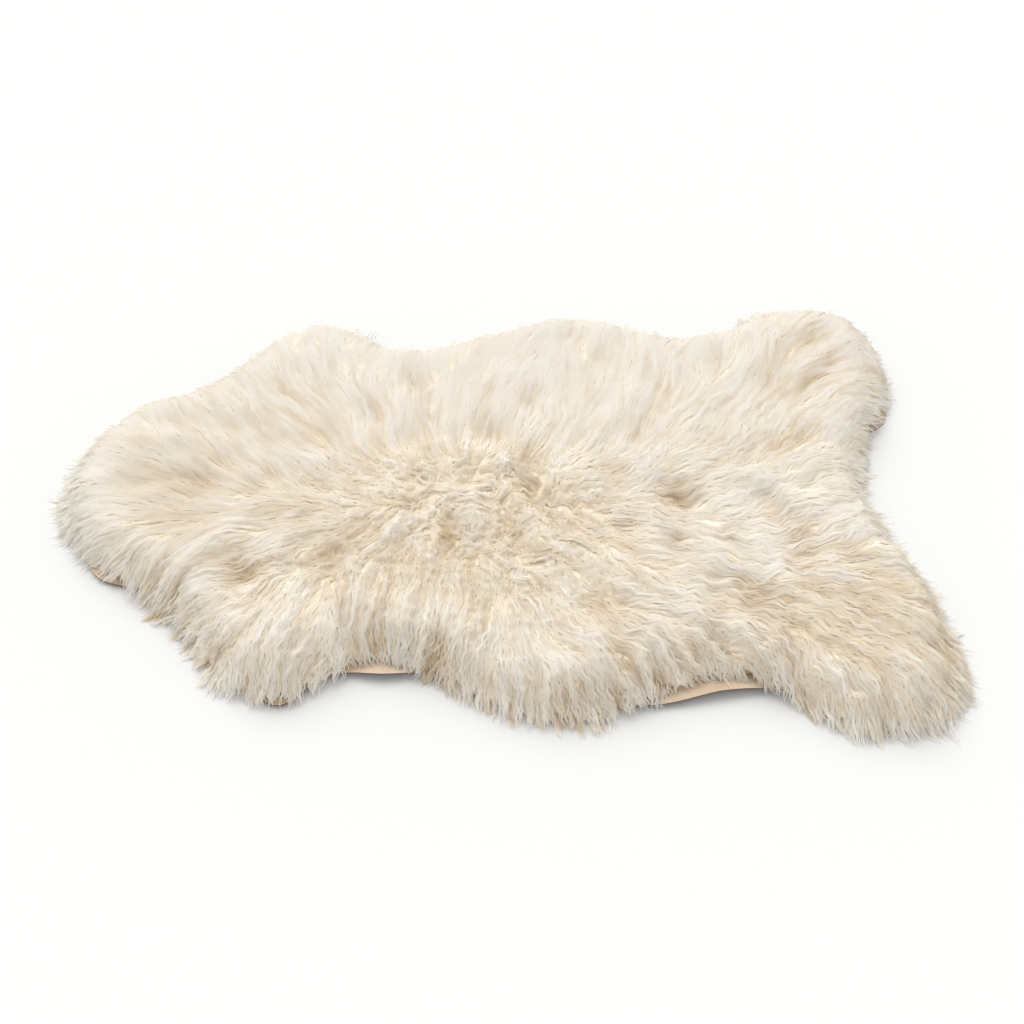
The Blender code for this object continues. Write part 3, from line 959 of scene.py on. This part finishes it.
@dataclass
class Coating:
    """One coat of wool: its ribbons gather into wisps, and its wisps into locks."""

    face: Surface
    coat: Coat
    root_depth: float = 5.0 * MM  # below the wool's face
    root_share: float = 0.24  # of the length, on which a ribbon comes up to the face
    lock_dome: float = 0.7 * MM  # how far a lock's middle is raised
    wisp_sway: float = 0.8 * MM
    clearance: float = 0.8 * MM  # least height over the hide or the floor
    least_lock: float = 0.12  # share of a lock that the rim always leaves
    least_ribbon: float = 0.72  # share of its lock's length
    most_closed: float = 0.82  # the most that a lock closes up by its tip
    phase: float = 6.28  # widest random start of a lock's swing, in radians
    roll: float = 0.12  # random turn of a ribbon about its own line, in radians
    brightness: float = 0.8  # before painted light and shade, the roots' tan and each lock's own brightness are added
    tan_and_shade_depth: float = 13.0 * MM  # below the wool's face, where the roots' tan and painted shade between the ribbons leave no brightness
    paleness: float = 0.66  # before pale and deep places, painted shade and painted highlights are added
    patches: Noise = Noise(70.0 * MM, 0.06, 41)

    def __post_init__(self) -> None:
        """Take the coat's sizes and random numbers."""
        self.zones, self.growth = self.face.zones, self.coat.value
        self.rng = np.random.default_rng(self.growth.seed)
        self.along = np.linspace(0.0, 1.0, self.growth.segments + 1)

    def trace(self, root: Array, length: Array, turn: Array) -> Array:
        """Follow the lie of the wool over its surface from each root.

        Args:
            root: where each line starts.
            length: how long each is over the surface.
            turn: how far each strays from the lie by its tip, in radians.

        Returns:
            The lines' points, seen from above.
        """
        rows = len(self.along)
        guide = np.zeros((len(root), rows, 2))
        guide[:, 0] = root
        step, at = length / (rows - 1) / 2.0, root
        for k in range(2, 2 * rows):
            way = turned(Field.sample(self.face.flow, at)[None], turn * k / (2 * rows))[0]
            fall = (Field.sample(self.face.slope, at) * way).sum(axis=1)
            at = at + way * (step / np.sqrt(1.0 + np.minimum(fall * fall, 2.0)))[:, None]
            guide[:, k // 2] = at
        return guide

    def lock_lines(self, roots: Array) -> Array:
        """Lay out the middle lines of the locks, shortened where they would pass the rim.

        Args:
            roots: where the locks start.

        Returns:
            The lines' points, seen from above.
        """
        growth, rng, zones, count = self.growth, self.rng, self.zones, len(roots)
        calm = 1.0 - 0.5 * Field.sample(zones.wavy, roots) + 0.6 * Field.sample(zones.edge, roots)
        out = 0.2 + 0.8 * rng.uniform(0.0, 1.0, count)
        out = out * (1.0 + 0.3 * np.clip(roots[:, 1] / zones.far_side, -1.0, 1.0))
        length = rng.uniform(*growth.length, count)
        turn = calm * rng.normal(0.0, growth.turn, count)
        limit = growth.past_rim * out * (1.0 - Field.sample(zones.bare, roots))
        reach = Field.sample(self.face.form.reach, self.trace(roots, length, turn))
        outside, last = reach < -limit[:, None], len(self.along) - 1
        first = np.where(outside.any(axis=1), outside.argmax(axis=1), last)
        lines = self.trace(roots, length * np.maximum(first / last, self.least_lock), turn)
        way = unit(np.gradient(lines, axis=1))
        across = np.dstack([-way[..., 1], way[..., 0]])
        swing = 2.0 * math.pi * self.along * rng.uniform(0.6, 1.2, count)[:, None]
        swing = np.sin(swing + rng.uniform(0.0, self.phase, count)[:, None])
        swing = growth.bend * calm[:, None] * swing * np.minimum(self.along / 0.25, 1.0)
        return lines + across * swing[..., None]

    def openness(self, wisps: Array) -> Array:
        """Work out how far wisps still stand apart in their locks.

        Args:
            wisps: where the wisps start.

        Returns:
            The share of their first distance at each row.
        """
        zones = self.zones
        calm_edge = zones.edge * (1.0 - 0.4 * zones.silky) * (1.0 - 0.8 * zones.soft)
        gather = self.growth.gather + 0.5 * Field.sample(calm_edge, wisps)
        gather = np.minimum(gather, self.most_closed)
        gather *= 1.0 - 0.7 * Field.sample(zones.soft, wisps)
        return (1.0 - gather[:, None] * self.along ** 0.8)[..., None]

    def grow(self, where: Array) -> Ribbons:
        """Grow the coat: a ribbon keeps the shape of its wisp, and a wisp that of its lock.

        Args:
            where: the share of its roots that grow, over the grid.

        Returns:
            The finished ribbons.
        """
        growth, rng, along = self.growth, self.rng, self.along
        roots = Seeds.scattered(growth.spacing, rng).flat()
        roots = roots[rng.uniform(0.0, 1.0, len(roots)) < Field.sample(where, roots)]
        locks = Seeds.scattered(growth.lock_pitch, rng)
        wisps = Seeds.scattered(growth.wisp_pitch, rng)
        starts = wisps.flat()
        lock_lines = self.lock_lines(locks.flat())
        lock_own = rng.normal(0.0, 1.0, len(lock_lines))
        home, wisp = locks.nearest(starts), wisps.nearest(roots)
        apart = self.openness(starts)
        own = rng.normal(0.0, 1.0, (len(home), 3))
        wisp_lines = lock_lines[home] + (starts - locks.flat()[home])[:, None] * apart
        wisp_lines += self.wisp_sway * own[:, None, 1:] * np.sin(3.0 * along)[:, None]
        offset = (roots - starts[wisp])[:, None] * (0.25 + 0.75 * apart[wisp])
        kept = rng.uniform(self.least_ribbon, 1.0, len(roots))
        self.lines = shortened(wisp_lines[wisp] + offset, kept)
        lock = home[wisp]
        self.lock_own, self.wisp_own = lock_own[lock], own[wisp, 0]
        away = np.linalg.norm(self.lines - lock_lines[lock], axis=2) / (0.6 * growth.lock_pitch)
        self.dome = np.clip(1.0 - away ** 2, -0.5, 1.0) * np.minimum(along / 0.4, 1.0)
        return self.dress()

    def on_lines(self, values: Array) -> Array:
        """A grid's values at every point of the lines."""
        return Field.sample(values, self.lines)

    def at_roots(self, values: Array) -> Array:
        """A grid's values at the roots."""
        return Field.sample(values, self.lines[:, 0])

    def dress(self) -> Ribbons:
        """Give the lines their height, width and colour, with painted light and shade in the
        colour.

        Returns:
            The finished ribbons.
        """
        growth, rng, face, zones = self.growth, self.rng, self.face, self.zones
        count, edge = len(self.lines), self.at_roots(zones.edge)
        own = rng.normal(0.0, growth.loose, count) + 0.1 * MM * self.wisp_own
        own = own + (0.3 + 1.2 * edge) * MM * self.lock_own
        crease = self.on_lines(zones.crease) * rng.uniform(0.2, 1.3, count)[:, None]
        points = np.dstack([self.lines, self.heights(own)])
        forward, up = unit(np.gradient(points, axis=1)), self.on_lines(face.up)
        roll = rng.normal(0.0, self.roll, count)[:, None, None]
        side = unit(np.cross(up, forward))
        side = side * np.cos(roll) + np.cross(forward, side) * np.sin(roll)
        taper = share((1.0 - self.along) / (0.25 + 0.35 * edge[:, None])) ** 0.8
        width = growth.tip_width + (growth.width - growth.tip_width) * taper
        parting_shade, fine = self.on_lines(face.parting_shade), self.on_lines(face.fine)
        depth = self.on_lines(face.height) - points[..., 2]
        # Painted shade: darker and tanner the deeper under the wool's face, partly the roots'
        # real tan, and darker on the locks' low parts
        shade_and_tan = self.brightness + 0.08 * self.on_lines(face.relief) - depth / self.tan_and_shade_depth
        # Painted shade: darker in hollows below the wool round them
        shade_and_tan = shade_and_tan - 0.3 * np.maximum(self.on_lines(face.hollow_shade), 0.0)
        # Painted shade: darker in creases and in the near rim's partings; painted highlight:
        # brighter on the finest locks' ridges
        shade_and_tan = shade_and_tan - 0.3 * crease - 0.24 * parting_shade + 0.15 * fine
        # Painted light and shade: brighter in the middle of each lock, darker at its sides
        shade_and_tan = shade_and_tan + (0.06 + 0.1 * edge)[:, None] * self.dome
        shade_and_tan = shade_and_tan + (0.03 * (1.0 + edge) * self.lock_own + 0.07 * edge
                           + 0.1 * self.at_roots(zones.soft))[:, None]
        # Painted shade tans creases and partings, and a painted highlight pales the finest locks'
        # ridges
        tone = self.tone() - 0.2 * crease - 0.12 * parting_shade
        tone += (0.25 + 0.38 * self.on_lines(zones.silky * (1.0 - zones.soft))) * fine
        normals = 0.9 * up + 0.1 * np.cross(forward, side)
        return Ribbons(points, side * (width / 2.0)[..., None], normals, tone, shade_and_tan)

    def heights(self, own: Array) -> Array:
        """Raise the lines from their roots to the wool's face, and let them down past the rim.

        Args:
            own: how far each is raised above the rest.

        Returns:
            The height at each row.
        """
        growth, rng, along, count = self.growth, self.rng, self.along, len(self.lines)
        edge, rough = self.at_roots(self.zones.edge), 1.0 - 0.85 * self.at_roots(self.zones.silky)
        level = rng.uniform(growth.lowest, 1.0, count)[:, None] ** 0.5
        height = self.on_lines(self.face.height) * level + growth.rise * along
        height = height - self.root_depth * share(1.0 - along / self.root_share) ** 1.4
        height = height + (own * rough)[:, None] * np.minimum(along / 0.2, 1.0)
        domed = self.lock_dome * (rough + 1.7 * edge * (0.4 + 0.6 * rough))
        height = height + domed[:, None] * self.dome
        rest = self.on_lines(self.face.form.hide_top) + self.clearance
        z = np.maximum(height, rest + self.clearance * rng.uniform(0.0, 1.0, count)[:, None])
        droop = growth.droop * rng.uniform(0.6, 1.4, count)
        run = np.linalg.norm(np.diff(self.lines, axis=1), axis=2)
        for k in range(1, z.shape[1]):
            z[:, k] = np.maximum(z[:, k], z[:, k - 1] - droop * run[:, k - 1])
        return z

    def tone(self) -> Array:
        """Choose how pale each ribbon is at each of its rows.

        Returns:
            The tone, mostly from 0 to 1.
        """
        zones, lines = self.zones, self.lines
        even = self.at_roots(zones.silky * (1.0 - 0.5 * zones.edge) + zones.soft)
        own = self.rng.normal(0.0, 0.12, len(lines)) + 0.09 * self.lock_own + 0.08 * self.wisp_own
        # Painted shade: deeper tone in hollows
        tone = self.paleness - 0.28 * self.on_lines(self.face.hollow_shade)
        tone = tone + self.on_lines(zones.paleness)
        tone = tone + self.patches.at(lines[..., 0], lines[..., 1])
        return tone + ((1.0 - 0.4 * even) * own)[:, None]


@dataclass
class Fleece:
    """The wool that shows: every coat, in one piece for each section of the rug."""

    face: Surface
    inset: float = 9.0 * MM  # of the first roots from the outline
    inset_fade: float = 3.0 * MM  # over which the roots thicken from there
    rim_width: float = 40.0 * MM
    rim_fade: float = 12.0 * MM  # over which the rim's wool thins out inwards

    def coverage(self) -> dict[Coat, Array]:
        """Say where each coat grows.

        Returns:
            The share of each one's roots that grow, over the grid.
        """
        zones, reach = self.face.zones, self.face.form.reach
        body = share((reach - self.inset) / self.inset_fade)
        curl, wavy = share((zones.curly - 0.3) / 0.3), share((zones.wavy - 0.2) / 0.3)
        steep = share(0.4 * np.hypot(1.0, np.linalg.norm(self.face.slope, axis=2)))
        rim = body * steep * share((self.rim_width - reach) / self.rim_fade)
        return {Coat.CURL: body * curl, Coat.PILE: body * (1.0 - curl) * wavy,
                Coat.SILK: body * (1.0 - curl) * (1.0 - wavy), Coat.RIM: rim,
                Coat.STRAND: body, Coat.FUZZ: share(2.0 * rim) * (1.0 - 0.5 * zones.bare)}

    def build(self, wool: Material) -> list[Object]:
        """Grow every coat, and cut the wool into sections with as many faces each.

        Args:
            wool: the finish.

        Returns:
            One piece for each section.
        """
        coats = [Coating(self.face, coat).grow(where) for coat, where in self.coverage().items()]
        starts = [coat.points[:, 0, 0] for coat in coats]
        each_face = [np.repeat(start, coat.points.shape[1] - 1)
                     for start, coat in zip(starts, coats)]
        cuts = np.quantile(np.concatenate(each_face), np.linspace(0.0, 1.0, len(SECTIONS) + 1))
        cuts[0], cuts[-1] = -1.0, 1.0
        pieces = []
        for section, low, high in zip(SECTIONS, cuts[:-1], cuts[1:]):
            parts = [coat.chosen((start >= low) & (start < high))
                     for start, coat in zip(starts, coats)]
            parts = [part for part in parts if len(part.points)]
            pieces.append(add_piece(ribbon_mesh("wool_" + section, parts), wool))
        return pieces


@dataclass
class Underwool:
    """The dense wool near the skin: a closed body under the ribbons.

    The grid that it is cut from has a length, a width and a pitch.
    """

    face: Surface
    length: float = 1.02
    width: float = 0.70
    pitch: float = 5.5 * MM
    inset: float = 8.0 * MM  # of its rim from the outline
    face_blur: float = 3.0 * MM
    ridge_blur: float = 5.0 * MM
    lowest: float = 6.0 * MM  # least height of its top
    underside: float = 3.5 * MM

    def body(self) -> Mesh:
        """Cut a grid to the wool's outline, raise it below the ribbons and close it underneath.

        Returns:
            The mesh.
        """
        face, bm = self.face, bmesh.new()
        bmesh.ops.create_grid(bm, x_segments=int(self.length / self.pitch),
                              y_segments=int(self.width / self.pitch), size=0.5)
        for vertex in bm.verts:
            vertex.co.x *= self.length
            vertex.co.y *= self.width
        xy = np.array([v.co.xy for v in bm.verts])
        keep = Field.sample(face.form.reach, xy) > self.inset
        smooth = Field.blur(face.height, self.face_blur)
        ridges = Field.blur(np.abs(face.height - smooth), self.ridge_blur)
        height = Field.sample(smooth - 2.0 * ridges - (1.0 + 0.6 * face.zones.edge) * MM, xy)
        outside = [v for v, k in zip(bm.verts, keep) if not k]
        for vertex, z in zip(bm.verts, height):
            vertex.co.z = max(z, self.lowest)
        bmesh.ops.delete(bm, geom=outside, context="VERTS")
        lower = bmesh.ops.extrude_face_region(bm, geom=list(bm.faces), use_keep_orig=True)["geom"]
        for item in lower:
            if isinstance(item, bmesh.types.BMVert):
                item.co.z = self.underside
        below = (self.underside + self.lowest) / 2.0
        flat = [f for f in bm.faces if max(v.co.z for v in f.verts) < below]
        bmesh.ops.dissolve_faces(bm, faces=flat, use_verts=True)
        bmesh.ops.recalc_face_normals(bm, faces=bm.faces)
        mesh = bpy.data.meshes.new("underwool")
        bm.to_mesh(mesh)
        bm.free()
        mesh.shade_smooth()
        return mesh

    def build(self, finish: Material) -> Object:
        """Model the body and paint light and shade into its colour by what grows over it.

        Args:
            finish: its material.

        Returns:
            The piece.
        """
        face, zones, mesh = self.face, self.face.zones, self.body()
        at = np.array([mesh.vertices[loop.vertex_index].co.xy for loop in mesh.loops])
        # Painted light and shade: paler where the ribbons keep it in shade (wavy wool, near rim),
        # duller where the soft light reaches it through the silky wool, lighter on lock ridges
        # and darker and tanner in creases; deeper in tone under the curly wool
        tone = 0.7 + zones.paleness - 0.4 * zones.crease - 0.15 * zones.curly
        shade_and_tan = 0.6 - 0.15 * zones.silky + 0.2 * zones.wavy + 0.4 * zones.front
        shade_and_tan = shade_and_tan + 0.12 * face.relief - 0.5 * zones.crease
        uvs = np.clip(Field.sample(np.dstack([tone, shade_and_tan]), at), 0.01, 0.99)
        mesh.uv_layers.new(name=BAKE_UV).data.foreach_set("uv", uvs.ravel())
        return add_piece(mesh, finish)


@dataclass
class Hide:
    """The tanned skin under the wool, which keeps its own solid."""

    solid: Object

    def dress(self, leather: Material) -> None:
        """Give the solid its finish."""
        self.solid.data.materials.clear()
        self.solid.data.materials.append(leather)


# -------- studio


@dataclass
class Studio:
    """Pale floor, soft light and the camera."""

    lens: float = 45.70  # in millimetres, as the sensor's width is
    sensor: float = 36.0
    tilt: float = 42.20  # in degrees from straight down
    place: tuple[float, float, float] = (0.0271, -1.0369, 1.1257)
    floor_colour: str = "#D1D1D0"
    floor_size: float = 14.0
    floor_drop: float = 0.2 * MM
    air: float = 1.0  # strength of the even light
    power: float = 2.2  # of the soft one, in watts to the square metre
    softness: float = 60.0  # how wide it looks from the rug, in degrees
    shines_from: tuple[float, float, float] = (-0.25, 0.85, 1.25)

    def floor(self) -> None:
        """Make the floor, just under the rug so that their faces don't meet."""
        bpy.ops.mesh.primitive_plane_add(size=self.floor_size,
                                         location=(0.0, 0.0, -self.floor_drop))
        floor = bpy.context.object
        floor.name = "floor"
        material, shader = new_material("studio floor", roughness=0.9, specular=0.0)
        shader.inputs["Base Color"].default_value = linear(self.floor_colour)
        floor.data.materials.append(material)

    def light(self) -> None:
        """Make the even light from all round and the soft one from above."""
        world = bpy.data.worlds.new("studio air")
        world.use_nodes = True
        background = world.node_tree.nodes["Background"]
        background.inputs["Color"].default_value = (1.0, 1.0, 1.0, 1.0)
        background.inputs["Strength"].default_value = self.air
        bpy.context.scene.world = world
        lamp = bpy.data.lights.new("soft overhead light", "SUN")
        lamp.energy = self.power
        lamp.angle = math.radians(self.softness)
        overhead = bpy.data.objects.new("soft overhead light", lamp)
        overhead.rotation_euler = (-Vector(self.shines_from)).to_track_quat("-Z", "Y").to_euler()
        bpy.context.scene.collection.objects.link(overhead)

    def camera(self) -> None:
        """Make the camera, which looks down on the rug from its near side."""
        camera = bpy.data.objects.new("camera", bpy.data.cameras.new("camera"))
        camera.data.lens = self.lens
        camera.data.sensor_width = self.sensor
        camera.location = self.place
        camera.rotation_euler = (math.radians(self.tilt), 0.0, 0.0)
        bpy.context.scene.collection.objects.link(camera)
        bpy.context.scene.camera = camera

    def build(self) -> None:
        """Make the floor, the lights and the camera."""
        bpy.context.scene.view_settings.view_transform = "Standard"
        self.floor()
        self.light()
        self.camera()


def main() -> None:
    """Build the rug and the studio round it."""
    logging.basicConfig(level=logging.INFO)
    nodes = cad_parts
    form = Form(nodes["fleece"], nodes["hide"])
    face = Surface(form, Zones(form.reach), Combing())
    underwool = Underwool(face).build(UNDERWOOL.material())
    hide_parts("fleece")
    pieces = Fleece(face).build(WoolFinish().material())
    for piece in [underwool, *pieces]:
        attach(piece, ROOT_BODY)
    hide = nodes["hide"]
    Hide(hide).dress(LeatherFinish().material())
    for piece in [hide, underwool, *pieces]:
        triangles = len(piece.data.loops) - 2 * len(piece.data.polygons)
        LOG.info("%s: %d triangles", piece.name, triangles)
    Studio().build()


if __name__ == "__main__":
    main()
